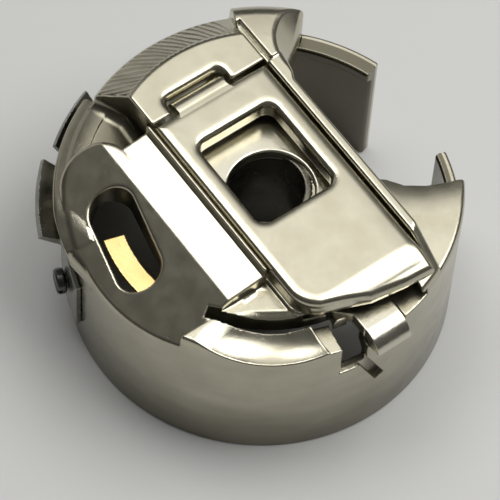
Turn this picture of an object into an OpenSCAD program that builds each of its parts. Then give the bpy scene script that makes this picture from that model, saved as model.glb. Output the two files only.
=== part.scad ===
// Rotary-hook bobbin case, empty, latch closed. The open rim rests on z = 0 with the case axis on Z.
// +X runs along the latch from its hinge to its free end, +Y points at the cut-away side of the wall.

/* [Case] */
// Outside radius of the case wall
case_r = 12.5; // [12.3:0.1:12.8]
// Thickness of the case wall
wall_t = 0.8; // [0.6:0.1:0.9]
// Height of the bobbin space, from the rim to the inside of the face
cavity_h = 10.3; // [10.2:0.1:10.4]
// Height of the shoulder where the knurled cone begins
shoulder_z = 11.9; // [11.7:0.1:12]
// Height of the flat face
top_z = 13.87; // [13.8:0.01:14]
// Radius of the flat face inside the knurled cone
face_r = 9.9; // [9.7:0.1:10]

/* [Stud bore] */
// Bore of the centre tube, which runs on the hook's stud
bore_r = 2.45; // [2.4:0.01:2.5]
// Wall of the centre tube
tube_t = 0.45; // [0.4:0.05:0.5]
// Radius of the flange that clamps the anti-spin spring
flange_r = 3.9; // [3.6:0.1:4]

/* [Latch] */
// Edge of the latch on the pad side
latch_y0 = -4.2; // [-4.25:0.01:-4.15]
// Edge of the latch on the rail side
latch_y1 = 4.42; // [4.4:0.01:4.45]
// Hinge end of the latch
latch_x0 = -6.3; // [-6.32:0.01:-6.28]
// Underside of the latch
latch_z0 = 12.35; // [12.33:0.01:12.4]
// Crease across the latch where its free end begins to slope down
crease_x = 10.12; // [10:0.01:10.3]
// Length of the latch window along X
window_x = 7; // [6.6:0.1:7]
// Width of the latch window
window_y = 5.65; // [5.4:0.05:5.65]
// Height of the hinge pin's axis
hinge_z = 13.05; // [13:0.01:13.1]
// Place of the hinge pin's axis along the latch
hinge_x = -5; // [-5.05:0.01:-4.95]
// Radius of the hinge pin
pin_r = 0.35; // [0.33:0.01:0.35]

/* [Slide] */
// Thickness of the slide plate
slide_t = 0.95; // [0.9:0.01:0.95]
// Half of the slide plate's width
slide_w = 3.2; // [3.15:0.01:3.2]
// Radius of the slide's stud hole
hole_r = 2.75; // [2.7:0.01:2.8]
// Travel of the slide, which is also how far its hole sits off the case axis
slide_travel = 0.55; // [0.5:0.01:0.55]

/* [Springs and screws] */
// Thickness of the tension spring
leaf_t = 0.35; // [0.3:0.05:0.35]
// Height of the two tension spring screws
screw_z = 4.8; // [4.6:0.1:5]
// Radius of the tension screw's head
head_r = 0.85; // [0.8:0.05:0.85]
// Thickness of the anti-spin spring
anti_spin_t = 0.2; // [0.15:0.05:0.2]
// Radius of the slide spring's coil, to the middle of the wire
coil_r = 0.38; // [0.36:0.01:0.38]
// Radius of the slide spring's wire
coil_wire_r = 0.09; // [0.08:0.01:0.09]

/* [Hidden] */
$fn = 96;
eps = 0.01;
far = 30;

cavity_r = case_r - wall_t;
// The wall is thicker where it meets the face.
corner_r = 11.2;
corner_z = cavity_h - 0.9;
tube_r = bore_r + tube_t;

floor_z = cavity_h + 0.9;
slide_z0 = floor_z + 0.05;
slide_z1 = slide_z0 + slide_t;
ledge_z = latch_z0 - 0.05;
latch_gap = 0.1;
latch_tip_z = 12.5;
channel_gap = 0.1;

rail_y = 5.2;
strip_y0 = -6.5;
strip_y1 = -4.6;
strip_z = 13.1;
strip_x0 = -6.6;
low_z = 11.3;
lip_r = 13.4;
lip_z = 10.2;
ridge_r = 11.8;
fall_in = 0.22;
fall_out = 0.42;
horn_round = 1.4;
horn_z = 14;
horn_az = 155;
groove_x0 = -9.7;
groove_w = 0.3;
groove_d = 0.35;
pad_x1 = 6;

heel_y0 = -2.3;
heel_y1 = 1.5;
heel_r = 0.95;
notch_x0 = -7.62;
ear_y = 2.6;
ear_t = 0.6;
ear_r = 0.45;

screw_az = -111;
fixing_az = -168;
thread_r = 0.5;
thread_gap = 0.03;

nose_x = 11.9;
nose_y0 = -1.15;
nose_w = 2.6;

post_x = 4.7;
post_l = 0.5;
spring_slot_x = 8.1;

nickel = [0.72, 0.69, 0.62];
bright_nickel = [0.80, 0.78, 0.72];
dark_steel = [0.36, 0.35, 0.33];
bronze = [0.80, 0.58, 0.25];

// Points on an arc about the origin, from angle a0 to a1.
function arc(r, a0, a1, n = 24) = [for (i = [0:n]) let (a = a0 + (a1 - a0) * i / n) [r * cos(a), r * sin(a)]];

// Wedge about the case axis, from angle a0 to a1 and radius 0 to far.
module sector(a0, a1, z0, z1) {
    translate([0, 0, z0])
        linear_extrude(z1 - z0)
            polygon(concat([[0, 0]], arc(far, a0, a1, 6)));
}

// Profile in radius and height, turned about the case axis from angle a0 to a1.
module turned(a0, a1) {
    rotate([0, 0, a0])
        rotate_extrude(angle = a1 - a0, $fn = 180)
            children();
}

// Piece of a ring about the case axis.
module ring_part(r0, r1, a0, a1, z0, z1) {
    turned(a0, a1)
        translate([r0, z0])
            square([r1 - r0, z1 - z0]);
}

// Rectangle in plan with round corners.
module round_rect(x0, y0, x1, y1, r) {
    union() {
        translate([x0 + r, y0])
            square([x1 - x0 - 2 * r, y1 - y0]);
        translate([x0, y0 + r])
            square([x1 - x0, y1 - y0 - 2 * r]);
        for (x = [x0 + r, x1 - r], y = [y0 + r, y1 - r])
            translate([x, y])
                circle(r, $fn = 32);
    }
}

// Cylinder lying along Y from y0 to y1.
module y_cylinder(r, x, z, y0, y1) {
    translate([x, y1, z])
        rotate([90, 0, 0])
            cylinder(r = r, h = y1 - y0);
}

// Cylinder that points away from the case axis at an azimuth, from radius r0 to r1.
module radial_cylinder(r, az, z, r0, r1) {
    rotate([0, 0, az])
        translate([r0, 0, z])
            rotate([0, 90, 0])
                cylinder(r = r, h = r1 - r0);
}

// Outside of the whole case as one turned solid: wall, knurled cone and flat face.
module outer_profile() {
    rotate_extrude($fn = 180)
        polygon([[0, 0], [case_r - 0.15, 0], [case_r, 0.15], [case_r, shoulder_z], [face_r, top_z],
                 [0, top_z]]);
}

// Space for the bobbin, with the thicker corner below the face.
module cavity() {
    translate([0, 0, -1])
        rotate_extrude($fn = 180)
            polygon([[0, 0], [cavity_r, 0], [cavity_r, corner_z + 0.5], [corner_r, corner_z + 1],
                     [corner_r, cavity_h + 1], [0, cavity_h + 1]]);
}

// Channel for the slide, with undercut sides that hold it down.
module slide_channel() {
    side = slide_w + channel_gap;
    translate([hinge_x - 0.6, -side, floor_z])
        cube([far, 2 * side, far]);
    translate([hinge_x - 0.6, -side - 0.4, floor_z])
        cube([far, 2 * side + 0.8, 0.55]);
}

// Channel for the latch, the pocket under its hinge end and the notch for its heel.
module latch_channel() {
    y0 = latch_y0 - latch_gap;
    y1 = latch_y1 + latch_gap;
    translate([latch_x0 - 0.05, y0, ledge_z])
        cube([far, y1 - y0, far]);
    translate([latch_x0 - 0.65, y0, floor_z])
        cube([2.6, y1 - y0, hinge_z + 0.55 - floor_z]);
    translate([0, y0, 0])
        y_cylinder(1.62, hinge_x, hinge_z, 0, y1 - y0);
    translate([0, 0, cavity_h + 0.2])
        linear_extrude(far)
            round_rect(notch_x0, heel_y0 - 0.15, hinge_x + 0.2, heel_y1 + 0.15, 0.4);
}

// Cut-away on the +Y side: the face ends at the rail and a gap runs down through the wall.
module side_opening() {
    translate([0, 0, cavity_h - 0.1])
        linear_extrude(far)
            polygon([[3, rail_y], [4, 6.4], [5, 7.1], [5.8, 8.2], [6.4, 9.6], [7, 11.5], [7, 16], [-10.2, 16],
                     [-10.2, 11], [-7, 7.5], [-6.2, 6.6], [-5.4, 5.8], [-4.2, rail_y]]);
    ring_part(10.6, 15, 75, 108, -1, far);
    ring_part(10.6, 15, 57, 75.5, 8.7, far);
    translate([0, rail_y, shoulder_z])
        cube([far, far, far]);
    translate([-5.5, 9, shoulder_z])
        cylinder(r1 = 2, r2 = 3.6, h = horn_z - shoulder_z + eps);
    translate([groove_x0, latch_y1 + latch_gap - eps, top_z - groove_d])
        cube([latch_x0 - groove_x0, groove_w, far]);
}

// Raised horn at the end of the rail, with a rounded outer edge and a radial end.
module horn() {
    r0 = case_r - horn_round;
    intersection() {
        sector(90, horn_az, shoulder_z - 1, horn_z + 1);
        rotate_extrude($fn = 180)
            polygon(concat([[0, shoulder_z - 1], [case_r, shoulder_z - 1]],
                           [for (a = [0:10:90]) [r0 + horn_round * cos(a), horn_z + horn_round * (sin(a) - 1)]],
                           [[0, horn_z]]));
        translate([-far, latch_y1 + latch_gap, 0])
            cube([far + latch_x0, far, far]);
    }
}

// Plan of the raised pad beside the latch.
module pad_plan() {
    hull() {
        translate([-6, -8.6])
            circle(2.5, $fn = 32);
        translate([pad_x1 - 1, strip_y0])
            square([1, 1]);
        polygon(arc(case_r + 0.5, -118, -105, 6));
        polygon(arc(case_r - 0.1, -99, -58, 8));
    }
}

// Low shoulder between the head and the pad's round end. It falls to both sides of a low ridge.
module low_shoulder() {
    intersection() {
        linear_extrude(far)
            polygon([[strip_x0, strip_y1], [strip_x0, latch_y0], [-9.1, latch_y0], [-16, -7.3], [-16, -16],
                     [-3, -16], [-3, strip_y0], [strip_x0, strip_y0]]);
        rotate_extrude($fn = 180)
            polygon([[7, low_z - fall_in * (ridge_r - 7)], [ridge_r, low_z],
                     [16, low_z - fall_out * (16 - ridge_r)], [16, far], [7, far]]);
    }
}

// Lip around the low shoulder, which stands a little proud of the wall above the tension spring.
module shoulder_lip() {
    intersection() {
        rotate_extrude($fn = 180)
            polygon([[cavity_r, 9.4], [case_r, 9.4], [lip_r, lip_z], [lip_r, low_z - fall_out * (lip_r - ridge_r)],
                     [ridge_r, low_z - eps]]);
        sector(-156, -106, 8, 13);
    }
}

// Everything above the strip and above the pad's sloping face.
module above_pad() {
    translate([strip_x0, -far, strip_z])
        cube([pad_x1 - strip_x0 + eps, far + strip_y1, far]);
    translate([-far, strip_y0, strip_z])
        rotate([26.6, 0, 0])
            translate([0, -far, 0])
                cube([far + pad_x1, far, far]);
}

// Slot through the pad.
module pad_slot() {
    translate([-1.75, -9.5, 0])
        rotate([0, 0, -12])
            translate([0, 0, corner_z - 1])
                linear_extrude(far)
                    round_rect(-3.5, -1.4, 3.5, 1.4, 1.39);
}

// Finger opening beside the free end of the latch, with the wall dipping below it.
module finger_opening() {
    translate([pad_x1, -far, 12])
        cube([far, far + latch_y0 - latch_gap, far]);
    intersection() {
        translate([0, 0, corner_z - 1])
            difference() {
                cylinder(r = 10.45, h = far);
                cylinder(r = 9.8, h = far);
            }
        sector(-57, -12, 0, far);
    }
    radial_cylinder(9, -33, 19.75, 10.5, 14);
    rotate([0, 0, -9.5])
        translate([10.5, -0.9, 8.2])
            cube([3, 1.8, far]);
    translate([case_r - 0.4, -0.3, 5.3])
        rotate([24, 0, 0])
            cube([2, 0.7, 3.6]);
    translate([10, nose_y0 - 0.2, cavity_h - 0.1])
        cube([3, nose_w + 0.4, far]);
}

module case_body() {
    color(nickel)
        difference() {
            union() {
                difference() {
                    outer_profile();
                    cavity();
                    above_pad();
                    low_shoulder();
                }
                horn();
                difference() {
                    shoulder_lip();
                    above_pad();
                }
                intersection() {
                    linear_extrude(far)
                        pad_plan();
                    translate([0, 0, corner_z - 0.4])
                        cylinder(r = 13.1, h = 5);
                    difference() {
                        translate([-far, -far, 0])
                            cube([2 * far, far + strip_y1, strip_z]);
                        above_pad();
                        cylinder(r = corner_r, h = cavity_h);
                    }
                }
                ring_part(cavity_r - 0.6, cavity_r + 0.1, -180, -104, 2.6, 7.4);
            }
            slide_channel();
            latch_channel();
            side_opening();
            pad_slot();
            finger_opening();
            cylinder(r = tube_r, h = far);
            radial_cylinder(thread_r + thread_gap, screw_az, screw_z, 10, 14);
            radial_cylinder(thread_r, fixing_az, screw_z, 10, 14);
        }
    color(nickel)
        translate([post_x, -0.5, floor_z - 0.3])
            cube([post_l, 1, 1.2]);
}

module centre_tube() {
    color(bright_nickel)
        difference() {
            union() {
                cylinder(r = tube_r, h = floor_z);
                translate([0, 0, cavity_h - anti_spin_t - 0.4])
                    cylinder(r = flange_r, h = 0.4);
            }
            translate([0, 0, -1])
                cylinder(r = bore_r, h = far);
        }
}

module slide_plate() {
    color(bright_nickel)
        difference() {
            union() {
                translate([hinge_x + 0.7, -slide_w, slide_z0])
                    cube([nose_x - hinge_x - 0.7, 2 * slide_w, slide_t]);
                translate([hinge_x + 0.7, -slide_w - 0.35, slide_z0])
                    cube([8.5 - hinge_x - 0.7, 2 * slide_w + 0.7, 0.4]);
                for (y = [-ear_y - ear_t, ear_y]) {
                    translate([hinge_x - ear_r, y, slide_z0])
                        cube([1.3, ear_t, slide_t]);
                    translate([hinge_x - ear_r, y, slide_z0])
                        cube([2 * ear_r, ear_t, hinge_z - slide_z0]);
                    y_cylinder(ear_r, hinge_x, hinge_z, y, y + ear_t);
                }
                slide_nose();
            }
            translate([slide_travel, 0, 0])
                cylinder(r = hole_r, h = far);
            translate([post_x - 0.15, -0.6, 0])
                cube([spring_slot_x - post_x + 0.15, 1.2, far]);
            y_cylinder(pin_r, hinge_x, hinge_z, -slide_w - 1, slide_w + 1);
            translate([8.5, 0, 0])
                slide_tip_cut();
        }
}

// The slide narrows to its nose beyond the spring.
module slide_tip_cut() {
    y0 = nose_y0;
    y1 = nose_y0 + nose_w;
    linear_extrude(slide_z1 + 1)
        polygon([[0, 3.3], [1.8, y1], [9, y1], [9, 6], [0, 6]]);
    linear_extrude(slide_z1 + 1)
        polygon([[0, -3.3], [2.2, y0], [9, y0], [9, -6], [0, -6]]);
}

// Nose of the slide, bent down over the edge of the case.
module slide_nose() {
    bend_r = 1.6;
    translate([nose_x, nose_y0, slide_z1 - bend_r])
        rotate([-90, 0, 0])
            rotate([0, 0, -90])
                rotate_extrude(angle = 75)
                    translate([bend_r - slide_t, 0])
                        square([slide_t, nose_w]);
}

// Plan of the latch.
module latch_plan() {
    polygon(concat([[latch_x0, latch_y0], [latch_x0, latch_y1], [11.42, latch_y1], [11.3, 2.5],
                    [10.95, 0], [10.3, -1.6]],
                   [for (a = [-30:-10:-90]) [7.9 + 2.2 * cos(a), -2 + 2.2 * sin(a)]]));
}

// Side view of the latch: flat on top, and sloping down beyond the crease.
module latch_side() {
    translate([0, far / 2, 0])
        rotate([90, 0, 0])
            linear_extrude(far)
                polygon([[latch_x0, latch_z0], [latch_x0, top_z], [crease_x, top_z], [12, latch_tip_z],
                         [12, latch_z0]]);
}

module latch_lever() {
    color(nickel)
        difference() {
            union() {
                intersection() {
                    latch_side();
                    linear_extrude(far)
                        latch_plan();
                }
                y_cylinder(heel_r, -6.5, top_z - heel_r, heel_y0, heel_y1);
            }
            translate([0, 0, latch_z0 - 1])
                linear_extrude(far)
                    round_rect(-3.75, 0.08 - window_y / 2, window_x - 3.75, 0.08 + window_y / 2, 0.7);
            y_cylinder(pin_r + 0.03, hinge_x, hinge_z, -3.7, far);
            for (y = [-ear_y - ear_t - 0.1, ear_y - 0.1]) {
                translate([latch_x0 - 1, y, latch_z0 - 1])
                    cube([hinge_x - latch_x0 + 1, ear_t + 0.2, hinge_z + 0.5 - latch_z0 + 1]);
                translate([hinge_x - eps, y, latch_z0 - 1])
                    cube([0.56, ear_t + 0.2, hinge_z + 0.5 - latch_z0 + 1]);
            }
        }
}

module hinge_pin() {
    color(dark_steel)
        y_cylinder(pin_r, hinge_x, hinge_z, -3.6, 3.6);
}

// Point on the slide spring's wire: u runs along the turns, v around the wire.
coil_turns = 7;
coil_steps = 14;
coil_sides = 6;
coil_x0 = post_x + post_l + coil_wire_r + 0.02;
coil_l = spring_slot_x - coil_x0 - coil_wire_r - 0.02;
function coil_point(i, j) =
    let (turn = i / coil_steps, a = 360 * turn, b = 360 * j / coil_sides, r = coil_r + coil_wire_r * cos(b))
    [coil_x0 + coil_l * turn / coil_turns + coil_wire_r * sin(b), r * cos(a),
     (slide_z0 + slide_z1) / 2 + r * sin(a)];

module slide_spring() {
    rings = coil_turns * coil_steps;
    points = [for (i = [0:rings], j = [0:coil_sides - 1]) coil_point(i, j)];
    sides = [for (i = [0:rings - 1], j = [0:coil_sides - 1])
        let (k = (j + 1) % coil_sides)
        [i * coil_sides + j, i * coil_sides + k, (i + 1) * coil_sides + k, (i + 1) * coil_sides + j]];
    start = [for (j = [coil_sides - 1:-1:0]) j];
    end = [for (j = [0:coil_sides - 1]) rings * coil_sides + j];
    color(dark_steel)
        polyhedron(points = points, faces = concat([start], sides, [end]));
}

module tension_spring() {
    r0 = case_r + 0.02;
    r1 = r0 + leaf_t;
    color(nickel)
        difference() {
            union() {
                ring_part(r0, r1, -176, -102, 2.4, 8.6);
                turned(-160, -141)
                    polygon([[r0 + 0.05, 8.3], [r1 - 0.05, 8], [r1 + 1.1, 9.6], [r1 + 0.9, 9.9]]);
                turned(-137, -114)
                    polygon([[r0 + 0.05, 8.4], [r1 - 0.05, 7.9], [r1 + 1.6, 9.3], [r1 + 1.4, 9.6]]);
            }
            rotate([0, 0, -113])
                translate([case_r - 1, 0, 8.3])
                    rotate([-30, 0, 0])
                        cube([far, far, far]);
            radial_cylinder(thread_r + 0.1, screw_az, screw_z, 10, 14);
            radial_cylinder(thread_r + 0.1, fixing_az, screw_z, 10, 14);
        }
}

// Slotted screw that holds the tension spring at an azimuth.
module slotted_screw(az) {
    r0 = case_r + 0.02 + leaf_t;
    difference() {
        union() {
            radial_cylinder(thread_r, az, screw_z, cavity_r - 0.5, r0 + 0.1);
            radial_cylinder(head_r, az, screw_z, r0 + 0.08, r0 + 0.75);
        }
        rotate([0, 0, az])
            translate([r0 + 0.4, -1, screw_z - 0.13])
                cube([1, 2, 0.26]);
    }
}

module tension_screw() {
    color(dark_steel)
        slotted_screw(screw_az);
}

module fixing_screw() {
    color(dark_steel)
        slotted_screw(fixing_az);
}

module anti_spin_spring() {
    z0 = cavity_h - anti_spin_t;
    color(bronze)
        difference() {
            union() {
                translate([0, 0, z0])
                    cylinder(r = 4.6, h = anti_spin_t);
                ring_part(4.3, 9.6, -76, -60, z0, cavity_h);
                ring_part(9.3, 10.7, -106.5, -60, z0, cavity_h);
            }
            cylinder(r = tube_r + 0.05, h = far);
        }
}

case_body();
centre_tube();
slide_plate();
latch_lever();
hinge_pin();
slide_spring();
tension_spring();
tension_screw();
fixing_screw();
anti_spin_spring();
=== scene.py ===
"""Rotary-hook bobbin case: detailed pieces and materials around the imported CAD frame.

Each piece is the surface of a signed distance with rounded edges, made to the CAD's sizes.
Lengths in the shape code are millimetres. Azimuths are degrees about the case axis from +X.
"""

import math
from concurrent.futures import ThreadPoolExecutor
from itertools import product

import bpy
import numpy as np
from mathutils import Matrix, Vector


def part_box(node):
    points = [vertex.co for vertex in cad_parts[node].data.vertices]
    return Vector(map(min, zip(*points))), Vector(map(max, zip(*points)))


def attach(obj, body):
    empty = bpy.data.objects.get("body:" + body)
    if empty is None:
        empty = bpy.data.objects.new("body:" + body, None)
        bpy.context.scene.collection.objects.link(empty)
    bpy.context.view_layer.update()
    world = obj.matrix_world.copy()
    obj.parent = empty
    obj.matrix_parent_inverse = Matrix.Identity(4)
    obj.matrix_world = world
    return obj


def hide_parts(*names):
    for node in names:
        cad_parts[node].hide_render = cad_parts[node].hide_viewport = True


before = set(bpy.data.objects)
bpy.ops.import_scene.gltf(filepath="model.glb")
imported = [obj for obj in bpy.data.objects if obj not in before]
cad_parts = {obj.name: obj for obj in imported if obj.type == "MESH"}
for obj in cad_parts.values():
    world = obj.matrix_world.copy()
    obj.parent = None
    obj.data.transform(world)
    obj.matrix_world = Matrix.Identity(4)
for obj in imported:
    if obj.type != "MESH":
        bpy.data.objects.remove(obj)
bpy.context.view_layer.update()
MM = 0.001


def node_box(name):
    """A CAD node's lowest and highest corners in millimetres."""
    low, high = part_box(name)
    return [v / MM for v in low], [v / MM for v in high]


# ---------------------------------------------------------------- sizes
LATCH_LOW, LATCH_HIGH = node_box("latch_lever")
PIN_LOW, PIN_HIGH = node_box("hinge_pin")
CASE_HIGH = node_box("case_body")[1]
TUBE_HIGH = node_box("centre_tube")[1]
FAR = 60.0  # beyond everything, for the open side of a cut
GAP = 0.1  # between the latch or the slide and its channel

# case body
CASE_R = CASE_HIGH[0]
WALL_T = 0.8
CAVITY_R = CASE_R - WALL_T
CAVITY_H = node_box("anti_spin_spring")[1][2]
CORNER_R, CORNER_Z = 11.2, CAVITY_H - 0.9  # thicker corner between wall and face
CORNER_BEVEL = 0.5
SHOULDER_Z = 11.9  # top of the wall
FACE_R = 9.9  # flat face, which a cone joins to the wall
TOP_Z = LATCH_HIGH[2]
THROUGH_WALL = (10.6, 15)
KNURL_R, KNURL_PITCH, KNURL_DEPTH, KNURL_LEAN = 11.2, 0.46, 0.055, 0.46
KNURL_WOBBLE = ((0.10, 1.3, 0.0), (0.05, 4.1, 1.0))  # size, rate and phase
RAIL_Y = 5.2
HORN_Z = CASE_HIGH[2]
HORN_ROUND, HORN_AZ = 1.4, (60, 155)
GROOVE_X0, GROOVE_W, GROOVE_D = -9.7, 0.3, 0.35
SCOOP_AT, SCOOP_R0, SCOOP_R1 = (-5.5, 9), 2.0, 3.6  # radii at the shoulder and the horn's top
BOSS_AZ, BOSS_Z, BOSS_T = (-180, -104), (2.6, 7.4), 0.6  # thicker wall behind the screws

# pad, strip and low shoulder on the -Y side
STRIP_X0, STRIP_Y0, STRIP_Y1, STRIP_Z = -6.6, -6.5, -4.6, 13.1
STRIP_FALL = 0.13
PAD_X1, PAD_R = 6.0, 13.1
PAD_TILT = math.radians(26.6)
PAD_END_AT, PAD_END_R = (-6.0, -8.6), 2.5
PAD_SLOT_AT, PAD_SLOT_AZ, PAD_SLOT_L, PAD_SLOT_R = (-1.75, -9.5), -12, 4.2, 1.4
LOW_Z, RIDGE_R = 11.3, 11.8
RIDGE_OUT, RIDGE_IN = 0.42, 0.22  # slopes to both sides of the ridge
LIP_R, LIP_Z0, LIP_Z1, LIP_AZ = 13.4, 9.4, 10.2, (-156, -106)

# latch, its hinge and its window
LATCH_Y0, LATCH_Y1 = LATCH_LOW[1], LATCH_HIGH[1]
LATCH_X0, LATCH_Z0 = -6.3, 12.35
CREASE_X, TIP_X, TIP_Z = 10.12, 12.0, 12.5  # the top bends down from the crease to the tip
BEAD_R, BEAD_IN, BEAD_Z, BEAD_X0 = 0.4, 0.42, 12.78, 9.6  # rolled edge at the free end
WINDOW_X0, WINDOW_X1, WINDOW_Y, WINDOW_W = -3.75, 3.25, 0.08, 5.65
HINGE_X = (PIN_LOW[0] + PIN_HIGH[0]) / 2
HINGE_Z = (PIN_LOW[2] + PIN_HIGH[2]) / 2
PIN_R = (PIN_HIGH[0] - PIN_LOW[0]) / 2
HEEL_Y0, HEEL_Y1, HEEL_R, HEEL_X = -2.3, 1.5, 0.95, -6.5
NOTCH_X0 = -7.62
NOTCH_Y = (HEEL_Y0 - 0.15, HEEL_Y1 + 0.15)

# slide
SLIDE_Z0 = node_box("slide_plate")[0][2]
SLIDE_T, SLIDE_W = 0.95, 3.2
SLIDE_Z1 = SLIDE_Z0 + SLIDE_T
GUIDE_W, GUIDE_T, GUIDE_X1 = 0.35, 0.4, 8.5  # ledges that run in the undercut
EAR_Y, EAR_T, EAR_R = (-3.2, 2.6), 0.6, 0.45
STUD_R, STUD_X = 2.75, 0.55
NOSE_X, NOSE_Y0, NOSE_W = 11.9, -1.15, 2.6
BEND_R, BEND_TURN = 1.6, math.radians(75)
POST_X, POST_L, POST_W = 4.7, 0.5, 1.0
SLOT_X, SLOT_W = 8.1, 1.2

# tube, leaf, screws and anti-spin spring
TUBE_R, BORE_R = 2.9, 2.45
FLANGE_R, FLANGE_T = TUBE_HIGH[0], 0.4
ARM_T = 0.2
FLOOR_Z = TUBE_HIGH[2]
LEAF_R0 = CASE_R + 0.02
LEAF_R1 = LEAF_R0 + 0.35
LEAF_AZ, LEAF_Z = (-176, -102), (2.4, 8.6)
SLANT_AZ, SLANT_Z, SLANT = -113, 8.3, math.radians(30)
SCREW_AZ, FIXING_AZ, SCREW_Z = -111, -168, 4.8
THREAD_R, HEAD_R, HEAD_T = 0.5, 0.85, 0.75
DRIVER_W, DRIVER_D = 0.26, 0.35
SCREW_HOLE = (10, 14)


# ---------------------------------------------------------------- signed distances
def rmax(a, b, r):
    """Intersection of two solids whose shared edge is rounded to radius r."""
    u, v = np.maximum(a + r, 0), np.maximum(b + r, 0)
    return np.minimum(-r, np.maximum(a, b)) + np.sqrt(u * u + v * v)


def rmin(a, b, r):
    """Union of two solids with a fillet of radius r between them."""
    return -rmax(-a, -b, r)


def cut(a, b, r=0.0):
    """Solid a without solid b, with the new edge rounded to radius r."""
    return rmax(a, -b, r) if r else np.maximum(a, -b)


def fall(distance, width, slope):
    """How far a surface drops near an edge: nothing beyond width, and steepest at the edge."""
    return slope / (2 * width) * np.clip(width - distance, 0, width) ** 2


def between(v, low, high):
    """Slab of the coordinate v from low to high."""
    return np.maximum(low - v, v - high)


def box(p, x, y, z, r=0.0):
    """Box from ranges of x, y and z, with edges rounded to radius r."""
    sides = between(p[0], *x), between(p[1], *y), between(p[2], *z)
    if not r:
        return np.maximum(np.maximum(sides[0], sides[1]), sides[2])
    return rmax(rmax(sides[0], sides[1], r), sides[2], r)


def round_rect(p, x, y, r):
    """Upright prism over a rectangle whose corners are rounded to radius r."""
    cx, cy = (x[0] + x[1]) / 2, (y[0] + y[1]) / 2
    u = np.abs(p[0] - cx) - (x[1] - x[0]) / 2 + r
    v = np.abs(p[1] - cy) - (y[1] - y[0]) / 2 + r
    inside = np.minimum(np.maximum(u, v), 0)
    return inside + np.hypot(np.maximum(u, 0), np.maximum(v, 0)) - r


def prism(p, points):
    """Upright prism over a polygon, given as points in x and y."""
    x, y = p[0], p[1]
    nearest = np.full_like(x, 1e9)
    inside = np.zeros(x.shape, bool)
    for (ax, ay), (bx, by) in zip(points, points[1:] + points[:1]):
        ex, ey = bx - ax, by - ay
        wx, wy = x - ax, y - ay
        t = np.clip((wx * ex + wy * ey) / (ex * ex + ey * ey), 0, 1)
        nearest = np.minimum(nearest, (wx - t * ex) ** 2 + (wy - t * ey) ** 2)
        if ay != by:
            inside ^= ((y >= ay) != (y >= by)) & (x < ax + (y - ay) * ex / ey)
    return np.where(inside, -1, 1) * np.sqrt(nearest)


def sector(p, a0, a1):
    """Wedge about the case axis from azimuth a0 to a1, less than a half turn, in degrees."""
    a0, a1 = math.radians(a0), math.radians(a1)
    after = math.cos(a0) * p[1] - math.sin(a0) * p[0]
    before = math.cos(a1) * p[1] - math.sin(a1) * p[0]
    return np.maximum(-after, before)


def turned_to(p, az, at=(0.0, 0.0)):
    """The points in axes whose first one points at azimuth az, from the place at."""
    c, s = math.cos(math.radians(az)), math.sin(math.radians(az))
    x, y = p[0] - at[0], p[1] - at[1]
    return x * c + y * s, y * c - x * s, p[2]


def ring(p, r, az, z):
    """Piece of a ring about the case axis, from ranges of radius, azimuth and height."""
    out = np.hypot(p[0], p[1])
    return np.maximum(np.maximum(between(out, *r), between(p[2], *z)), sector(p, *az))


def y_rod(p, r, x, z, y0, y1):
    """Cylinder along Y."""
    return np.maximum(np.hypot(p[0] - x, p[2] - z) - r, between(p[1], y0, y1))


def radial_rod(p, r, az, z, reach, edge=0.0):
    """Cylinder that points away from the case axis at an azimuth, over a range of radius."""
    u, v, w = turned_to(p, az)
    side, ends = np.hypot(v, w - z) - r, between(u, *reach)
    return rmax(side, ends, edge) if edge else np.maximum(side, ends)


def arc_points(r, a0, a1, n, at=(0.0, 0.0)):
    """Points on an arc about at, from angle a0 to a1 in degrees."""
    turns = [math.radians(a0 + (a1 - a0) * i / n) for i in range(n + 1)]
    return [(at[0] + r * math.cos(t), at[1] + r * math.sin(t)) for t in turns]


def hull(points):
    """Convex hull of points in the plane, anticlockwise."""
    points = sorted(set(points))

    def turns_left(a, b, c):
        return (b[0] - a[0]) * (c[1] - a[1]) > (b[1] - a[1]) * (c[0] - a[0])

    def half(run):
        line = []
        for q in run:
            while len(line) > 1 and not turns_left(line[-2], line[-1], q):
                line.pop()
            line.append(q)
        return line[:-1]

    return half(points) + half(points[::-1])


# ---------------------------------------------------------------- meshing
NEIGHBOURS = ((0, 1, 2), (1, 2, 0), (2, 0, 1))
CHUNK = 400_000  # points worked out at a time
BLOCK = 6  # grid cells along a block's side
NEWTON_STEPS = 3
MARGIN = 0.3  # around the CAD node's box
MOST_TRIANGLES = 190_000  # in one piece


def evaluate(shape, points):
    """shape at many points, in chunks on every core."""
    parts = [points[i : i + CHUNK] for i in range(0, len(points), CHUNK)]
    with ThreadPoolExecutor() as pool:
        return np.concatenate(list(pool.map(lambda q: shape(tuple(q.T)), parts)))


def gradient(shape, points, step):
    """Direction in which shape grows fastest at each point."""
    found = np.empty_like(points)
    for k in range(3):
        shift = np.zeros(3, np.float32)
        shift[k] = step
        found[:, k] = evaluate(shape, points + shift) - evaluate(shape, points - shift)
    return found / (2 * step)


def lattice(counts):
    """Whole-number places of a grid, one row each."""
    return np.stack(np.meshgrid(*[np.arange(n) for n in counts], indexing="ij"), -1).reshape(-1, 3)


def sample(shape, low, counts, h):
    """shape on a grid, worked out only in the blocks that its surface may pass through."""
    blocks = [math.ceil(n / BLOCK) for n in counts]
    corners = lattice(blocks)
    coarse = evaluate(shape, (low + (corners + 0.5) * BLOCK * h).astype(np.float32))
    half_diagonal = math.sqrt(3) / 2 * BLOCK * h
    near = np.flatnonzero(np.abs(coarse) < 1.5 * half_diagonal)
    places = (corners[near, None] * BLOCK + lattice([BLOCK] * 3)[None]).reshape(-1, 3)
    grid = np.repeat(coarse[:, None], BLOCK**3, 1)
    grid[near] = evaluate(shape, (low + places * h).astype(np.float32)).reshape(len(near), -1)
    grid = grid.reshape(*blocks, BLOCK, BLOCK, BLOCK).transpose(0, 3, 1, 4, 2, 5)
    return grid.reshape([n * BLOCK for n in blocks])


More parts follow.
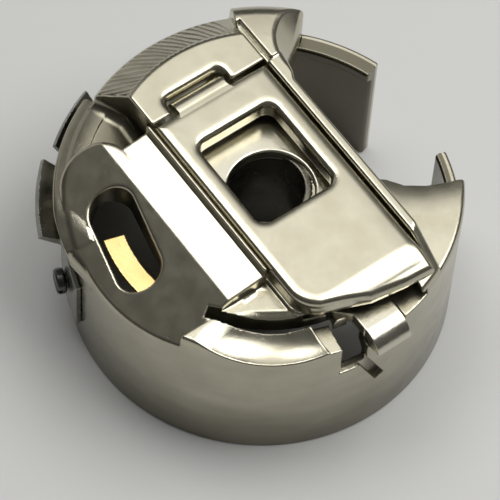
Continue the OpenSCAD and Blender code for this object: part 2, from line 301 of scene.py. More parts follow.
def net_points(v, low, h):
    """Surface-net points, one in each grid cell that the surface crosses, and their numbers."""
    inside = v < 0
    cells = [n - 1 for n in v.shape]
    corners = {
        corner: tuple(slice(a, a + n) for a, n in zip(corner, cells))
        for corner in product((0, 1), repeat=3)
    }
    total = sum(inside[part].astype(np.int8) for part in corners.values())
    active = (total > 0) & (total < len(corners))
    where = np.argwhere(active)
    number = np.full(active.shape, -1, np.int64)
    number[active] = np.arange(len(where))
    at = {corner: v[part][active] for corner, part in corners.items()}
    place, hits = np.zeros((len(where), 3)), np.zeros(len(where))
    for axis, a, b in product((0, 1, 2), (0, 1), (0, 1)):
        start, end = [(a, b)[:axis] + (e,) + (a, b)[axis:] for e in (0, 1)]
        f0, f1 = at[start], at[end]
        crossed = (f0 < 0) != (f1 < 0)
        point = np.tile(np.array(start, float), (len(where), 1))
        point[:, axis] = np.where(crossed, f0 / np.where(crossed, f0 - f1, 1), 0)
        place += point * crossed[:, None]
        hits += crossed
    return low + (where + place / hits[:, None]) * h, number


def net_quads(inside, number):
    """Quads of a surface net, one across each grid edge that the surface crosses."""
    quads = []
    for along, a, b in NEIGHBOURS:
        fore = [slice(1, -1)] * 3
        fore[along] = slice(0, -1)
        after = list(fore)
        after[along] = slice(1, None)
        start, stop = inside[tuple(fore)], inside[tuple(after)]
        for mask, flip in ((start & ~stop, False), (stop & ~start, True)):
            cell = np.argwhere(mask)
            cell[:, a] += 1
            cell[:, b] += 1
            four = []
            for da, db in ((1, 1), (0, 1), (0, 0), (1, 0)):
                c = cell.copy()
                c[:, a] -= da
                c[:, b] -= db
                four.append(number[c[:, 0], c[:, 1], c[:, 2]])
            four = np.stack(four, 1)
            quads.append(four[:, ::-1] if flip else four)
    return np.concatenate(quads)


def settled(shape, points, h):
    """Points moved onto the surface of shape by Newton's method, in short steps."""
    for _ in range(NEWTON_STEPS):
        g = gradient(shape, points, 0.2 * h)
        f = evaluate(shape, points)
        move = -f[:, None] * g / np.maximum((g * g).sum(1), 0.25)[:, None]
        length = np.linalg.norm(move, axis=1)
        points = points + move * np.minimum(1, 0.4 * h / np.maximum(length, 1e-9))[:, None]
    return points.astype(np.float32)


def surface(shape, low, high, h):
    """Vertices and quads of the surface of shape, by surface nets on a grid of step h."""
    low = np.array(low, float) - 2.5 * h
    counts = [math.ceil(n) for n in (np.array(high) + 2.5 * h - low) / h]
    v = sample(shape, low, counts, h)
    points, number = net_points(v, low, h)
    return settled(shape, points.astype(np.float32), h), net_quads(v < 0, number)


def mesh_from(name, points, faces):
    """Mesh object from points in millimetres and faces of one size."""
    mesh = bpy.data.meshes.new(name)
    size = faces.shape[1]
    mesh.vertices.add(len(points))
    mesh.vertices.foreach_set("co", (points * MM).astype(np.float32).ravel())
    mesh.loops.add(faces.size)
    mesh.loops.foreach_set("vertex_index", faces.astype(np.int32).ravel())
    mesh.polygons.add(len(faces))
    mesh.polygons.foreach_set("loop_start", np.arange(0, faces.size, size, dtype=np.int32))
    mesh.update(calc_edges=True)
    made = bpy.data.objects.new(name, mesh)
    bpy.context.scene.collection.objects.link(made)
    return made


def thinned(made, keep):
    """Replaces the object's mesh with one that has this share of its triangles."""
    thin = made.modifiers.new("thin", "DECIMATE")
    thin.ratio = keep
    depsgraph = bpy.context.evaluated_depsgraph_get()
    mesh = bpy.data.meshes.new_from_object(made.evaluated_get(depsgraph))
    made.modifiers.clear()
    made.data = mesh


def set_normals(mesh, shape):
    """Smooth shading with the exact normals of shape."""
    places = np.empty(len(mesh.vertices) * 3, np.float32)
    mesh.vertices.foreach_get("co", places)
    normals = gradient(shape, places.reshape(-1, 3) / MM, 0.01)
    normals /= np.maximum(np.linalg.norm(normals, axis=1), 1e-6)[:, None]
    mesh.polygons.foreach_set("use_smooth", np.ones(len(mesh.polygons), bool))
    mesh.normals_split_custom_set_from_vertices(normals.tolist())


def carve(name, shape, cad_node, body, slot, h):
    """Piece with the exact surface of shape, standing for a CAD node and riding on its body."""
    low, high = node_box(cad_node)
    points, quads = surface(shape, [v - MARGIN for v in low], [v + MARGIN for v in high], h)
    made = mesh_from(name, points, quads)
    if len(quads) * 2 > MOST_TRIANGLES:
        thinned(made, MOST_TRIANGLES / (len(quads) * 2))
    set_normals(made.data, shape)
    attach(made, body)
    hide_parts(cad_node)
    return made


# ---------------------------------------------------------------- the case body
def outside(p):
    """Wall, cone and flat face as one turned solid."""
    r = np.hypot(p[0], p[1])
    run, rise = CASE_R - FACE_R, TOP_Z - SHOULDER_Z
    length = math.hypot(run, rise)
    cone = ((r - CASE_R) * rise + (p[2] - SHOULDER_Z) * run) / length
    return rmax(rmax(rmax(r - CASE_R, cone, 0.35), p[2] - TOP_Z, 0.12), -p[2], 0.15)


def fade(inward, rate):
    """From 0 at an edge to 1 at 1/rate inside it."""
    return np.clip(inward * rate, 0, 1)


def knurl(p):
    """Depth of the slanting grooves in the cone of the head."""
    r = np.hypot(p[0], p[1])
    along = np.arctan2(p[1], -p[0]) * KNURL_R
    wobble = sum(size * np.sin(along * rate + phase) for size, rate, phase in KNURL_WOBBLE)
    turns = (along + (r - FACE_R) * KNURL_LEAN + wobble) / KNURL_PITCH
    wave = 0.5 + 0.5 * np.cos(2 * math.pi * turns)
    on_cone = fade(r - FACE_R - 0.05, 4) * fade(CASE_R - 0.15 - r, 4)
    on_head = fade(LATCH_X0 + 0.6 - p[0], 2) * fade(LATCH_Y1 - p[1], 3)
    return KNURL_DEPTH * wave * on_cone * on_head * fade(p[2] - SHOULDER_Z, 4)


def bobbin_space(p):
    """Space for the bobbin, with the thicker corner below the face."""
    r = np.hypot(p[0], p[1])
    upper = rmax(r - CORNER_R, p[2] - CAVITY_H, 0.1)
    bevel = (r - CAVITY_R + p[2] - CORNER_Z + CORNER_BEVEL) * math.sqrt(0.5)
    lower = np.maximum(np.maximum(r - CAVITY_R, bevel), p[2] - CORNER_Z)
    return np.minimum(upper, lower)


def under_pad(p):
    """Everything under the strip and the pad's sloping face."""
    slope = (p[2] - STRIP_Z) * math.cos(PAD_TILT) - (p[1] - STRIP_Y0) * math.sin(PAD_TILT)
    strip_top = STRIP_Z + STRIP_FALL * (p[1] - STRIP_Y1)
    return rmax(slope, p[2] - strip_top, 0.03)


def over_pad(p):
    """Everything above the strip and the pad's sloping face."""
    return np.maximum(np.maximum(-under_pad(p), p[0] - PAD_X1), p[1] - STRIP_Y1)


PAD_PLAN = hull(
    arc_points(PAD_END_R, 0, 348, 30, PAD_END_AT)
    + [(PAD_X1, STRIP_Y0), (PAD_X1, STRIP_Y0 + 1), (PAD_X1 - 1, STRIP_Y0 + 1)]
    + arc_points(CASE_R + 0.5, -118, -105, 12)
    + arc_points(CASE_R - 0.1, -99, -58, 30)
)


def pad(p):
    """Raised pad beside the latch."""
    r = np.hypot(p[0], p[1])
    plan = np.maximum(prism(p, PAD_PLAN), r - PAD_R)
    block = rmax(plan, under_pad(p), 0.45)
    space = np.maximum(r - CORNER_R, p[2] - CAVITY_H)
    sides = np.maximum(p[1] - STRIP_Y1, -space)
    return np.maximum(np.maximum(block, CORNER_Z - 0.4 - p[2]), sides)


def shoulder_height(p):
    """Height over the low shoulder, which falls to both sides of a low ridge."""
    r = np.hypot(p[0], p[1])
    ridge = rmin(RIDGE_OUT * (RIDGE_R - r), RIDGE_IN * (r - RIDGE_R), 0.8)
    return (p[2] - LOW_Z - ridge) * 0.94  # the cosine of the slopes, to stay near a distance


LOW_SHOULDER_PLAN = [
    (STRIP_X0, STRIP_Y1), (STRIP_X0, LATCH_Y0), (-9.1, LATCH_Y0), (-16, -7.3),
    (-16, -16), (-3, -16), (-3, STRIP_Y0), (STRIP_X0, STRIP_Y0),
]


def low_shoulder(p):
    """Cut for the low shoulder between the head and the pad's round end."""
    return rmax(prism(p, LOW_SHOULDER_PLAN), -shoulder_height(p), 0.9)


def lip(p):
    """Lip that stands proud of the wall around the low shoulder."""
    r = np.hypot(p[0], p[1])
    flank = math.atan2(LIP_R - CASE_R, LIP_Z1 - LIP_Z0)
    under = (r - CASE_R) * math.cos(flank) - (p[2] - LIP_Z0) * math.sin(flank)
    side = rmax(r - LIP_R, under, 0.3)
    whole = np.maximum(rmax(side, shoulder_height(p), 0.3), RIDGE_R - 0.3 - r)
    return cut(np.maximum(whole, sector(p, *LIP_AZ)), over_pad(p), 0.15)


def horn(p):
    """Raised horn at the end of the rail."""
    r = np.hypot(p[0], p[1])
    top = p[2] - HORN_Z + fall(CASE_R - r, 3.5, 0.12)
    ends = np.maximum(LATCH_Y1 + GAP - p[1], p[0] - LATCH_X0)
    ends = np.maximum(ends, sector(p, *HORN_AZ))
    return np.maximum(rmax(rmax(r - CASE_R, top, HORN_ROUND), ends, 0.1), SHOULDER_Z - 1 - p[2])


OPENING_PLAN = [
    (3, RAIL_Y), (4, 6.4), (5, 7.1), (5.8, 8.2), (6.4, 9.6), (7, 11.5), (7, 16),
    (-10.2, 16), (-10.2, 11), (-7, 7.5), (-6.2, 6.6), (-5.4, 5.8), (-4.2, RAIL_Y),
]


def side_opening(p):
    """Cut-away on the +Y side, the gap through the wall and the scoop under the horn."""
    plan = prism(p, OPENING_PLAN)
    upper = np.maximum(plan, CAVITY_H - 0.1 - p[2])
    gap = ring(p, THROUGH_WALL, (75, 108), (-1, FAR))
    step = ring(p, THROUGH_WALL, (57, 75.5), (8.7, FAR))
    shoulder_top = SHOULDER_Z - fall(plan, 2.2, 0.3)
    beyond = box(p, (0, FAR), (RAIL_Y, FAR), (SHOULDER_Z - 1, FAR))
    beyond = np.maximum(beyond, shoulder_top - p[2])
    slope = (SCOOP_R1 - SCOOP_R0) / (HORN_Z - SHOULDER_Z)
    away = np.hypot(p[0] - SCOOP_AT[0], p[1] - SCOOP_AT[1]) - SCOOP_R0
    away -= slope * (p[2] - SHOULDER_Z)
    scoop = np.maximum(away / math.hypot(1, slope), SHOULDER_Z - p[2])
    groove_y = LATCH_Y1 + GAP
    groove = box(p, (GROOVE_X0, LATCH_X0), (groove_y, groove_y + GROOVE_W), (TOP_Z - GROOVE_D, FAR))
    beyond = np.minimum(beyond, groove)
    return np.minimum(np.minimum(rmin(upper, scoop, 0.3), gap), np.minimum(step, beyond))


def latch_channel(p):
    """Channel for the latch and the pocket under its hinge end."""
    y = (LATCH_Y0 - GAP, LATCH_Y1 + GAP)
    channel = box(p, (LATCH_X0 - 0.05, FAR), y, (LATCH_Z0 - 0.05, FAR))
    pocket = box(p, (LATCH_X0 - 0.65, -4.35), y, (FLOOR_Z, HINGE_Z + 0.55))
    sweep = y_rod(p, 1.62, HINGE_X, HINGE_Z, *y)
    return np.minimum(channel, np.minimum(pocket, sweep))


def heel_notch(p):
    """Notch that the latch's heel turns in."""
    plan = round_rect(p, (NOTCH_X0, HINGE_X + 0.2), NOTCH_Y, 0.4)
    return np.maximum(plan, CAVITY_H + 0.2 - p[2])


def slide_channel(p):
    """Channel for the slide, with undercut sides."""
    x, side = (HINGE_X - 0.6, FAR), SLIDE_W + GAP
    open_part = box(p, x, (-side, side), (FLOOR_Z, FAR))
    side += GUIDE_W + 0.05
    return np.minimum(open_part, box(p, x, (-side, side), (FLOOR_Z, FLOOR_Z + GUIDE_T + 0.15)))


def pad_slot(p):
    """Slot through the pad."""
    u, v, _ = turned_to(p, PAD_SLOT_AZ, PAD_SLOT_AT)
    plan = np.hypot(np.maximum(np.abs(u) - PAD_SLOT_L / 2, 0), v) - PAD_SLOT_R
    return np.maximum(plan, CORNER_Z - 1 - p[2])


def finger_opening(p):
    """Opening beside the free end of the latch, with the dip in the wall."""
    r = np.hypot(p[0], p[1])
    level = box(p, (PAD_X1, FAR), (-FAR, LATCH_Y0 - GAP), (12, FAR))
    window = np.maximum(between(r, 9.8, 10.45), sector(p, -57, -12))
    window = np.maximum(window, CORNER_Z - 1 - p[2])
    u, v, w = turned_to(p, -33)
    out = u - 11.7
    middle_z = 19.75 + out ** 2 / 5 - 0.12 * out
    dip = np.maximum(np.hypot(v, w - middle_z) - 9, between(u, 9.6, 14))
    return np.minimum(rmin(level, dip, 0.4), window)


def nose_notch(p):
    """Notches in the wall beside the slide's nose."""
    u, v, w = turned_to(p, -9.5)
    notch = np.maximum(np.maximum(between(u, 10.5, 13.5), between(v, -0.9, 0.9)), 8.2 - w)
    tilt = math.radians(24)
    y, z = p[1] + 0.3, p[2] - 5.3
    ty, tz = y * math.cos(tilt) + z * math.sin(tilt), z * math.cos(tilt) - y * math.sin(tilt)
    slit = box((p[0], ty, tz), (CASE_R - 0.4, CASE_R + 1.6), (0, 0.7), (0, 3.6))
    nose_y = (NOSE_Y0 - 0.2, NOSE_Y0 + NOSE_W + 0.2)
    nose = box(p, (10, 13), nose_y, (CAVITY_H - 0.1, FAR))
    return np.minimum(np.minimum(notch, nose), slit)


def case_body(p):
    """The whole case body."""
    notch_rim = round_rect(p, (NOTCH_X0, LATCH_X0), NOTCH_Y, 0.4)
    solid = outside(p) + knurl(p)
    solid = np.maximum(solid, p[2] - TOP_Z + fall(notch_rim, 0.7, 0.5))
    solid = cut(solid, over_pad(p), 0.2)
    solid = cut(solid, low_shoulder(p), 0.15)
    solid = rmin(solid, horn(p), 0.15)
    solid = rmin(solid, lip(p), 0.25)
    solid = np.minimum(solid, pad(p))
    solid = cut(solid, bobbin_space(p), 0.12)
    boss = ring(p, (CAVITY_R - BOSS_T, CAVITY_R + 0.1), BOSS_AZ, BOSS_Z)
    solid = np.minimum(solid, boss)
    solid = cut(solid, latch_channel(p), 0.22)
    solid = cut(solid, heel_notch(p), 0.4)
    solid = cut(solid, slide_channel(p), 0.08)
    solid = cut(solid, side_opening(p), 0.2)
    solid = cut(solid, pad_slot(p), 0.2)
    solid = cut(solid, finger_opening(p), 0.12)
    solid = cut(solid, nose_notch(p), 0.08)
    solid = cut(solid, np.hypot(p[0], p[1]) - TUBE_R)
    solid = cut(solid, radial_rod(p, THREAD_R + 0.03, SCREW_AZ, SCREW_Z, SCREW_HOLE))
    solid = cut(solid, radial_rod(p, THREAD_R, FIXING_AZ, SCREW_Z, SCREW_HOLE))
    post_z = (FLOOR_Z - 0.3, FLOOR_Z + 0.9)
    post = box(p, (POST_X, POST_X + POST_L), (-POST_W / 2, POST_W / 2), post_z, 0.08)
    return np.minimum(solid, post)


# ---------------------------------------------------------------- the other pieces
def centre_tube(p):
    """Tube with its flange."""
    r = np.hypot(p[0], p[1])
    tube = rmax(r - TUBE_R, between(p[2], 0, FLOOR_Z), 0.08)
    top = CAVITY_H - ARM_T
    flange = rmax(r - FLANGE_R, between(p[2], top - FLANGE_T, top), 0.08)
    return cut(rmin(tube, flange, 0.1), r - BORE_R, 0.12)


LATCH_PLAN = [
    (LATCH_X0, LATCH_Y0), (LATCH_X0, LATCH_Y1), (11.42, LATCH_Y1), (11.3, 2.5), (10.95, 0),
    (10.3, -1.6), *arc_points(2.2, -30, -90, 8, (7.9, -2.0)),
]


def latch_lever(p):
    """Latch with its window, heel and hinge hole."""
    plan = prism(p, LATCH_PLAN)
    window_y = (WINDOW_Y - WINDOW_W / 2, WINDOW_Y + WINDOW_W / 2)
    window = round_rect(p, (WINDOW_X0, WINDOW_X1), window_y, 0.7)
    crown = fall(-plan, 0.75, 0.42) + fall(window, 0.7, 0.45) + fall(LATCH_Y1 - p[1], 1.8, 0.12)
    drop = math.atan2(TOP_Z - TIP_Z, TIP_X - CREASE_X)
    slope = (p[2] - TOP_Z) * math.cos(drop) + (p[0] - CREASE_X) * math.sin(drop)
    top = rmax(p[2] - TOP_Z + crown, slope, 0.5)
    bead = np.maximum(np.hypot(plan + BEAD_IN, p[2] - BEAD_Z) - BEAD_R, BEAD_X0 - p[0])
    flap = rmin(rmax(top, plan, 0.3), bead, 0.25)
    flap = rmax(flap, LATCH_Z0 - p[2], 0.06)
    heel = y_rod(p, HEEL_R, HEEL_X, TOP_Z - HEEL_R, HEEL_Y0, HEEL_Y1)
    flap = rmin(flap, heel, 0.2)
    flap = cut(flap, window, 0.3)
    flap = cut(flap, y_rod(p, PIN_R + 0.03, HINGE_X, HINGE_Z, -3.7, FAR), 0.05)
    for y in EAR_Y:
        ear = (y - GAP, y + EAR_T + GAP)
        flap = cut(flap, box(p, (LATCH_X0 - 1, HINGE_X + 0.55), ear, (0, HINGE_Z + 0.5)))
    return flap


def slide_plate(p):
    """Slide with its ears, stud hole, spring slot and bent nose."""
    x0, z = HINGE_X + 0.7, (SLIDE_Z0, SLIDE_Z1)
    widest = (-SLIDE_W - GUIDE_W, SLIDE_W + GUIDE_W)
    plate = box(p, (x0, NOSE_X), (-SLIDE_W, SLIDE_W), z)
    plate = np.minimum(plate, box(p, (x0, GUIDE_X1), widest, (SLIDE_Z0, SLIDE_Z0 + GUIDE_T)))
    y0, y1 = NOSE_Y0, NOSE_Y0 + NOSE_W
    dx, dz = p[0] - NOSE_X, p[2] - SLIDE_Z1 + BEND_R
    past_end = dx * math.cos(BEND_TURN) - dz * math.sin(BEND_TURN)
    bend = between(np.hypot(dx, dz), BEND_R - SLIDE_T, BEND_R)
    nose = np.maximum(np.maximum(bend, between(p[1], y0, y1)), np.maximum(-dx, past_end))
    above = [(8.5, 3.3), (10.3, y1), (17.5, y1), (17.5, 6), (8.5, 6)]
    below = [(8.5, -3.3), (10.7, y0), (17.5, y0), (17.5, -6), (8.5, -6)]
    solid = cut(np.minimum(plate, nose), np.minimum(prism(p, above), prism(p, below)), 0.08)
    solid = rmax(solid, between(p[1], *widest), 0.05)
    for y in EAR_Y:
        ear = (y, y + EAR_T)
        foot = box(p, (HINGE_X - EAR_R, HINGE_X + 0.85), ear, z)
        post = box(p, (HINGE_X - EAR_R, HINGE_X + EAR_R), ear, (SLIDE_Z0, HINGE_Z))
        knuckle = y_rod(p, EAR_R, HINGE_X, HINGE_Z, *ear)
        solid = np.minimum(solid, np.minimum(foot, np.minimum(post, knuckle)))
    solid = cut(solid, np.hypot(p[0] - STUD_X, p[1]) - STUD_R, 0.2)
    spring_slot = box(p, (POST_X - 0.15, SLOT_X), (-SLOT_W / 2, SLOT_W / 2), (0, FAR))
    solid = cut(solid, spring_slot, 0.08)
    return cut(solid, y_rod(p, PIN_R, HINGE_X, HINGE_Z, -4.2, 4.2))


def hinge_pin(p):
    """Hinge pin with rounded ends."""
    side = np.hypot(p[0] - HINGE_X, p[2] - HINGE_Z) - PIN_R
    return rmax(side, between(p[1], PIN_LOW[1], PIN_HIGH[1]), 0.08)


def flare(p, az, length, tips):
    """Stretch of the leaf's upper edge that is bent away from the wall.

    length is how far out it reaches, and tips are the heights of its root and its end.
    """
    (root_in, root_out), (end_out, end_in) = tips
    profile = [
        (LEAF_R0 + 0.05, root_in), (LEAF_R1 - 0.05, root_out),
        (LEAF_R1 + length, end_out), (LEAF_R1 + length - 0.2, end_in),
    ]
    return np.maximum(prism((np.hypot(p[0], p[1]), p[2]), profile), sector(p, *az))


def tension_spring(p):
    """Leaf around the wall, with its end cut at a slant and two flared stretches."""
    leaf = ring(p, (LEAF_R0, LEAF_R1), LEAF_AZ, LEAF_Z)
    leaf = rmin(leaf, flare(p, (-160, -141), 1.1, ((8.3, 8), (9.6, 9.9))), 0.3)
    leaf = rmin(leaf, flare(p, (-137, -114), 1.6, ((8.4, 7.9), (9.3, 9.6))), 0.3)
    _, v, w = turned_to(p, SLANT_AZ)
    w = w - SLANT_Z
    across = w * math.cos(SLANT) + v * math.sin(SLANT)
    along = v * math.cos(SLANT) - w * math.sin(SLANT)
    leaf = cut(leaf, np.maximum(-across, -along), 0.08)
    for az in (SCREW_AZ, FIXING_AZ):
        leaf = cut(leaf, radial_rod(p, THREAD_R + 0.1, az, SCREW_Z, SCREW_HOLE), 0.05)
    return leaf


def slotted_screw(az):
    """Shape of a slotted screw at an azimuth."""

    def shape(p):
        head_r = (LEAF_R1 + 0.08, LEAF_R1 + HEAD_T)
        thread = (CAVITY_R - 0.5, LEAF_R1 + 0.1)
        body = radial_rod(p, THREAD_R, az, SCREW_Z, thread, 0.1)
        head = radial_rod(p, HEAD_R, az, SCREW_Z, head_r, 0.22)
        u, _, w = turned_to(p, az)
        driver = between(w, SCREW_Z - DRIVER_W / 2, SCREW_Z + DRIVER_W / 2)
        return cut(np.minimum(body, head), np.maximum(head_r[1] - DRIVER_D - u, driver), 0.05)

    return shape


def anti_spin_spring(p):
    """Flat bronze spring under the face, with one curved arm."""
    r = np.hypot(p[0], p[1])
    hub = r - 4.6
    spoke = np.maximum(between(r, 4.3, 9.6), sector(p, -76, -60))
    arm = np.maximum(between(r, 9.3, 10.7), sector(p, -106.5, -60))
    plan = cut(rmin(hub, rmin(spoke, arm, 0.6), 0.8), r - TUBE_R - 0.05)
    return rmax(plan, between(p[2], CAVITY_H - ARM_T, CAVITY_H), 0.05)


# ---------------------------------------------------------------- materials
def node(tree, kind, **settings):
    """New shader node; inputs are given by name with spaces as underscores."""
    made = tree.nodes.new(kind)
    for key, value in settings.items():
        if hasattr(made, key):
            setattr(made, key, value)
        else:
            made.inputs[key.replace("_", " ")].default_value = value
    return made


def ramp(tree, factor, stops):
    """Colour from a ramp fed by a socket, made of (place, colour) pairs."""
    made = node(tree, "ShaderNodeValToRGB")
    elements = made.color_ramp.elements
    while len(elements) < len(stops):
        elements.new(0.5)
    for element, (place, colour) in zip(elements, stops):
        element.position = place
        element.color = (*colour, 1)
    tree.links.new(factor, made.inputs[0])
    return made.outputs[0]


def noise(tree, coords, scale, detail=4.0, stretch=(1, 1, 1), seed=0.0):
    """Noise in object space, with the scale per metre."""
    start = (seed, seed * 0.7, seed * 1.3)
    place = node(tree, "ShaderNodeMapping", Scale=stretch, Location=start)
    tree.links.new(coords, place.inputs["Vector"])
    made = node(tree, "ShaderNodeTexNoise", Scale=scale, Detail=detail)
    tree.links.new(place.outputs[0], made.inputs["Vector"])
    return made.outputs["Fac"]


def smooth(tree, value, low, high):
    """0 below low and 1 above high, or the other way round if low is the larger."""
    made = node(tree, "ShaderNodeMapRange", interpolation_type="SMOOTHSTEP",
                From_Min=min(low, high), From_Max=max(low, high),
                To_Min=float(low > high), To_Max=float(low <= high))
    tree.links.new(value, made.inputs["Value"])
    return made.outputs[0]


def calc(tree, operation, a, b):
    """Maths on two sockets or numbers."""
    made = node(tree, "ShaderNodeMath", operation=operation)
    for value, socket in zip((a, b), made.inputs):
        if isinstance(value, (int, float)):
            socket.default_value = value
        else:
            tree.links.new(value, socket)
    return made.outputs[0]


def product_of(tree, *values):
    """Product of sockets or numbers."""
    total = values[0]
    for value in values[1:]:
        total = calc(tree, "MULTIPLY", total, value)
    return total


def reach(tree, x, y, at=(0.0, 0.0)):
    """Distance in plan from a point given in millimetres."""
    dx, dy = calc(tree, "SUBTRACT", x, at[0] * MM), calc(tree, "SUBTRACT", y, at[1] * MM)
    square = calc(tree, "ADD", calc(tree, "MULTIPLY", dx, dx), calc(tree, "MULTIPLY", dy, dy))
    return calc(tree, "POWER", square, 0.5)


# Colour of the painted shade on the case.
PAINTED_SHADE_COLOUR = (0.095, 0.088, 0.062, 1)
BLACK, WHITE = (0, 0, 0), (1, 1, 1)


def case_painted_shade_mask(tree, coords):
    """Mask of painted shade on the plating: inside the case, in the low shoulder's corner, and on
    the wall to the rim, darker towards the bottom with random streaks.
    """
    place = node(tree, "ShaderNodeSeparateXYZ")
    tree.links.new(coords, place.inputs[0])
    x, y, z = place.outputs
    r = reach(tree, x, y)

    def across(value, low, high):
        return smooth(tree, value, low * MM, high * MM)

    # Painted shade inside the case.
    inside = product_of(tree, across(r, CASE_R - 0.3, CASE_R - 0.4),
                        across(z, CAVITY_H + 0.02, CAVITY_H - 0.1), 0.85)
    # Painted shade on the outer wall, darker towards the bottom, with random streaks.
    on_wall = product_of(tree, across(r, CASE_R - 0.12, CASE_R - 0.04), across(z, 12.2, 11.2))
    streaks = noise(tree, coords, 190.0, 3.0, (1, 1, 4), 2.0)
    low = calc(tree, "ADD", across(z, 7, 0), calc(tree, "MULTIPLY", streaks, 0.6))
    wall_shade = product_of(tree, on_wall, calc(tree, "ADD", calc(tree, "MULTIPLY", low, 0.52), 0.06))
    # Painted shade in the low shoulder's corner beside the pad's round end.
    corner = product_of(
        tree, across(z, 12.1, 11.5), across(z, 10.3, 10.6), across(x, -6.3, -6.7),
        across(y, -3.9, -4.3), across(y, -10.5, -8.5),
        across(reach(tree, x, y, PAD_END_AT), PAD_END_R - 0.05, PAD_END_R + 0.25),
        across(r, 14.2, 9.0))
    corner = calc(tree, "MULTIPLY", calc(tree, "POWER", corner, 0.6), 0.9)
    return calc(tree, "MAXIMUM", calc(tree, "MAXIMUM", inside, wall_shade), corner)


def metal(name, tint, dull, rough, painted_shade_mask=None):
    """Worn plated metal: cloudy colour, uneven gloss, fine scratches and small pits; where a mask
    is given, painted shade is mixed into the colour.
    """
    material = bpy.data.materials.new(name)
    material.use_nodes = True
    tree = material.node_tree
    shader = tree.nodes["Principled BSDF"]
    shader.inputs["Metallic"].default_value = 1.0
    coords = node(tree, "ShaderNodeTexCoord").outputs["Object"]
    clouds = noise(tree, coords, 420.0, 6.0)
    bright = [min(1, c * 1.06) for c in tint]
    colour = ramp(tree, clouds, [(0.32, dull), (0.55, tint), (0.75, bright)])
    # Painted shade: the colour goes to the dark shade colour where the mask is high.
    if painted_shade_mask:
        shade = node(tree, "ShaderNodeMix", data_type="RGBA")
        factor, _, _, _, _, _, unshaded, shaded = shade.inputs[:8]
        tree.links.new(painted_shade_mask(tree, coords), factor)
        tree.links.new(colour, unshaded)
        shaded.default_value = PAINTED_SHADE_COLOUR
        colour = shade.outputs[2]
    tree.links.new(colour, shader.inputs["Base Color"])
    haze = noise(tree, coords, 924.0, 8.0, seed=3.0)
    gloss = ramp(tree, haze, [(0.3, (rough[0],) * 3), (0.7, (rough[1],) * 3)])
    tree.links.new(gloss, shader.inputs["Roughness"])
    lines = noise(tree, coords, 2600.0, 3.0, (1, 14, 4), 7.0)
    cross = noise(tree, coords, 2200.0, 3.0, (12, 1, 3), 11.0)
    pits = ramp(tree, noise(tree, coords, 5200.0, 2.0, seed=5.0), [(0.28, BLACK), (0.33, WHITE)])
    height = calc(tree, "ADD", calc(tree, "ADD", lines, cross), calc(tree, "MULTIPLY", pits, 0.5))
    bump = node(tree, "ShaderNodeBump", Strength=0.3, Distance=0.012 * MM)
    tree.links.new(height, bump.inputs["Height"])
    tree.links.new(bump.outputs[0], shader.inputs["Normal"])
    return material


PLATE = (0.57, 0.54, 0.43), (0.52, 0.49, 0.38), (0.19, 0.27)
NICKEL = metal("nickel_plate", *PLATE)
# Case nickel plate with painted shade inside, in the shoulder corner and on the lower wall.
CASE_NICKEL_WITH_PAINTED_SHADE = metal("case_nickel_plate_painted_shade", *PLATE, painted_shade_mask=case_painted_shade_mask)
# Painted shade: the tube's nickel is painted dark because it lies deep inside the case.
SHADED_TUBE = metal("tube_nickel_painted_shade", (0.20, 0.19, 0.16), (0.14, 0.13, 0.11), (0.2, 0.3))
BRIGHT = metal("bright_nickel_plate", (0.64, 0.615, 0.52), (0.60, 0.575, 0.47), (0.17, 0.24))
DARK = metal("blackened_steel", (0.13, 0.14, 0.13), (0.08, 0.085, 0.08), (0.28, 0.42))
LEAF = metal("spring_steel", (0.30, 0.30, 0.27), (0.24, 0.24, 0.215), (0.24, 0.34))
BRONZE = metal("spring_bronze", (0.95, 0.70, 0.32), (0.88, 0.61, 0.25), (0.22, 0.32))


# ---------------------------------------------------------------- pieces
def paint(made, material):
    """Gives the piece this material alone."""
    made.data.materials.clear()
    made.data.materials.append(material)


tension_screw, fixing_screw = slotted_screw(SCREW_AZ), slotted_screw(FIXING_AZ)
PIECES = (  # name, shape, CAD node, body, slot, grid step and material
    ("case_body_detail", case_body, "case_body", "case", "nickel", 0.1, CASE_NICKEL_WITH_PAINTED_SHADE),
    ("latch_detail", latch_lever, "latch_lever", "latch", "nickel", 0.075, NICKEL),
    ("slide_detail", slide_plate, "slide_plate", "slide", "bright_nickel", 0.075, BRIGHT),
    ("tube_detail", centre_tube, "centre_tube", "case", "bright_nickel", 0.08, SHADED_TUBE),
    ("hinge_pin_detail", hinge_pin, "hinge_pin", "slide", "dark_steel", 0.05, DARK),
    ("leaf_detail", tension_spring, "tension_spring", "case", "dark_nickel", 0.08, LEAF),
    ("tension_screw_detail", tension_screw, "tension_screw", "screw", "dark_steel", 0.045, DARK),
    ("fixing_screw_detail", fixing_screw, "fixing_screw", "case", "dark_steel", 0.045, DARK),
    ("anti_spin_detail", anti_spin_spring, "anti_spin_spring", "case", "bronze", 0.06, BRONZE),
)
for *piece, material in PIECES:
    paint(carve(*piece), material)
paint(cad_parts["slide_spring"], DARK)

# ---------------------------------------------------------------- stage, light and camera
HALF = 1.5
floor_mesh = bpy.data.meshes.new("floor")
floor_corners = [(x, y, 0) for x, y in ((-HALF, -HALF), (HALF, -HALF), (HALF, HALF), (-HALF, HALF))]
floor_mesh.from_pydata(floor_corners, [], [(0, 1, 2, 3)])
floor = bpy.data.objects.new("floor", floor_mesh)
bpy.context.scene.collection.objects.link(floor)
paper = bpy.data.materials.new("pale_paper")
paper.use_nodes = True
paper_shader = paper.node_tree.nodes["Principled BSDF"]
paper_shader.inputs["Base Color"].default_value = (0.70, 0.705, 0.70, 1)
paper_shader.inputs["Roughness"].default_value = 0.85
floor_mesh.materials.append(paper)


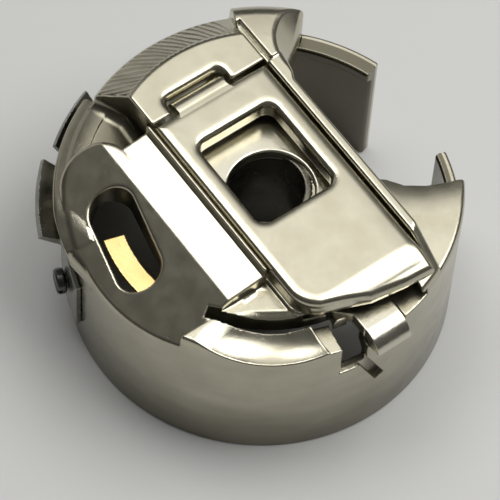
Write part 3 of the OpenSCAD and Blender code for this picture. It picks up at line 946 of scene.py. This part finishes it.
def area_light(name, toward, half_angle, radiance, distance):
    """Round soft box in a direction, as wide as half_angle in degrees to either side."""
    data = bpy.data.lights.new(name, "AREA")
    data.shape = "DISK"
    data.size = 2 * distance * math.tan(math.radians(half_angle))
    data.energy = radiance * math.pi * math.pi * (data.size / 2) ** 2
    data.color = (1.0, 0.995, 0.98)
    lamp = bpy.data.objects.new(name, data)
    lamp.location = Vector(toward).normalized() * distance
    lamp.rotation_euler = Vector(toward).to_track_quat("Z", "Y").to_euler()
    bpy.context.scene.collection.objects.link(lamp)


area_light("key", (-0.32, -0.08, 0.94), 13, 3.6, 0.5)
area_light("fill", (0.25, 0.40, 0.88), 20, 3.8, 0.25)

world = bpy.data.worlds.new("studio")
bpy.context.scene.world = world
world.use_nodes = True
sky = world.node_tree
background = sky.nodes["Background"]
direction = node(sky, "ShaderNodeTexCoord").outputs["Generated"]


def lobe(toward, wide, bright):
    """Soft patch of light, bright at its middle and nothing beyond wide degrees."""
    along = node(sky, "ShaderNodeVectorMath", operation="DOT_PRODUCT")
    sky.links.new(direction, along.inputs[0])
    along.inputs[1].default_value = Vector(toward).normalized()
    spread = node(sky, "ShaderNodeMapRange", interpolation_type="SMOOTHSTEP",
                  From_Min=math.cos(math.radians(wide)), From_Max=1.0, To_Max=bright)
    sky.links.new(along.outputs["Value"], spread.inputs["Value"])
    return spread.outputs[0]


level = lobe((0, 0.3, 1), 150, 0.13)
for toward, wide, bright in (
    ((-0.36, 0.30, 0.88), 27, 1.1),
    ((0.0, 0.1, 0.99), 20, 0.9),
    ((-0.9, -0.1, 0.36), 22, 0.45),
):
    level = calc(sky, "ADD", level, lobe(toward, wide, bright))
sky.links.new(level, background.inputs["Strength"])
background.inputs["Color"].default_value = (1.0, 0.985, 0.95, 1)

AIM, DISTANCE = Vector((0, 0, 5)) * MM, 227.6 * MM
AZIMUTH, ELEVATION = math.radians(50.2), math.radians(59.75)
PAN, TILT, ROLL = 0.003, -0.004, -0.078
camera_data = bpy.data.cameras.new("camera")
camera = bpy.data.objects.new("camera", camera_data)
bpy.context.scene.collection.objects.link(camera)
bpy.context.scene.camera = camera
camera_data.sensor_width = 36
camera_data.lens = 255.3
camera_data.clip_start, camera_data.clip_end = 0.01, 10
back = Vector((math.sin(AZIMUTH), -math.cos(AZIMUTH), 0)) * math.cos(ELEVATION)
back.z = math.sin(ELEVATION)
right = (-back).cross(Vector((0, 0, 1))).normalized()
turn = Matrix((right, back.cross(right), back)).transposed()
for angle, axis in ((PAN, "Y"), (TILT, "X"), (-ROLL, "Z")):
    turn = turn @ Matrix.Rotation(angle, 3, axis)
camera.matrix_world = Matrix.Translation(AIM + back * DISTANCE) @ turn.to_4x4()
bpy.context.scene.view_settings.view_transform = "Standard"
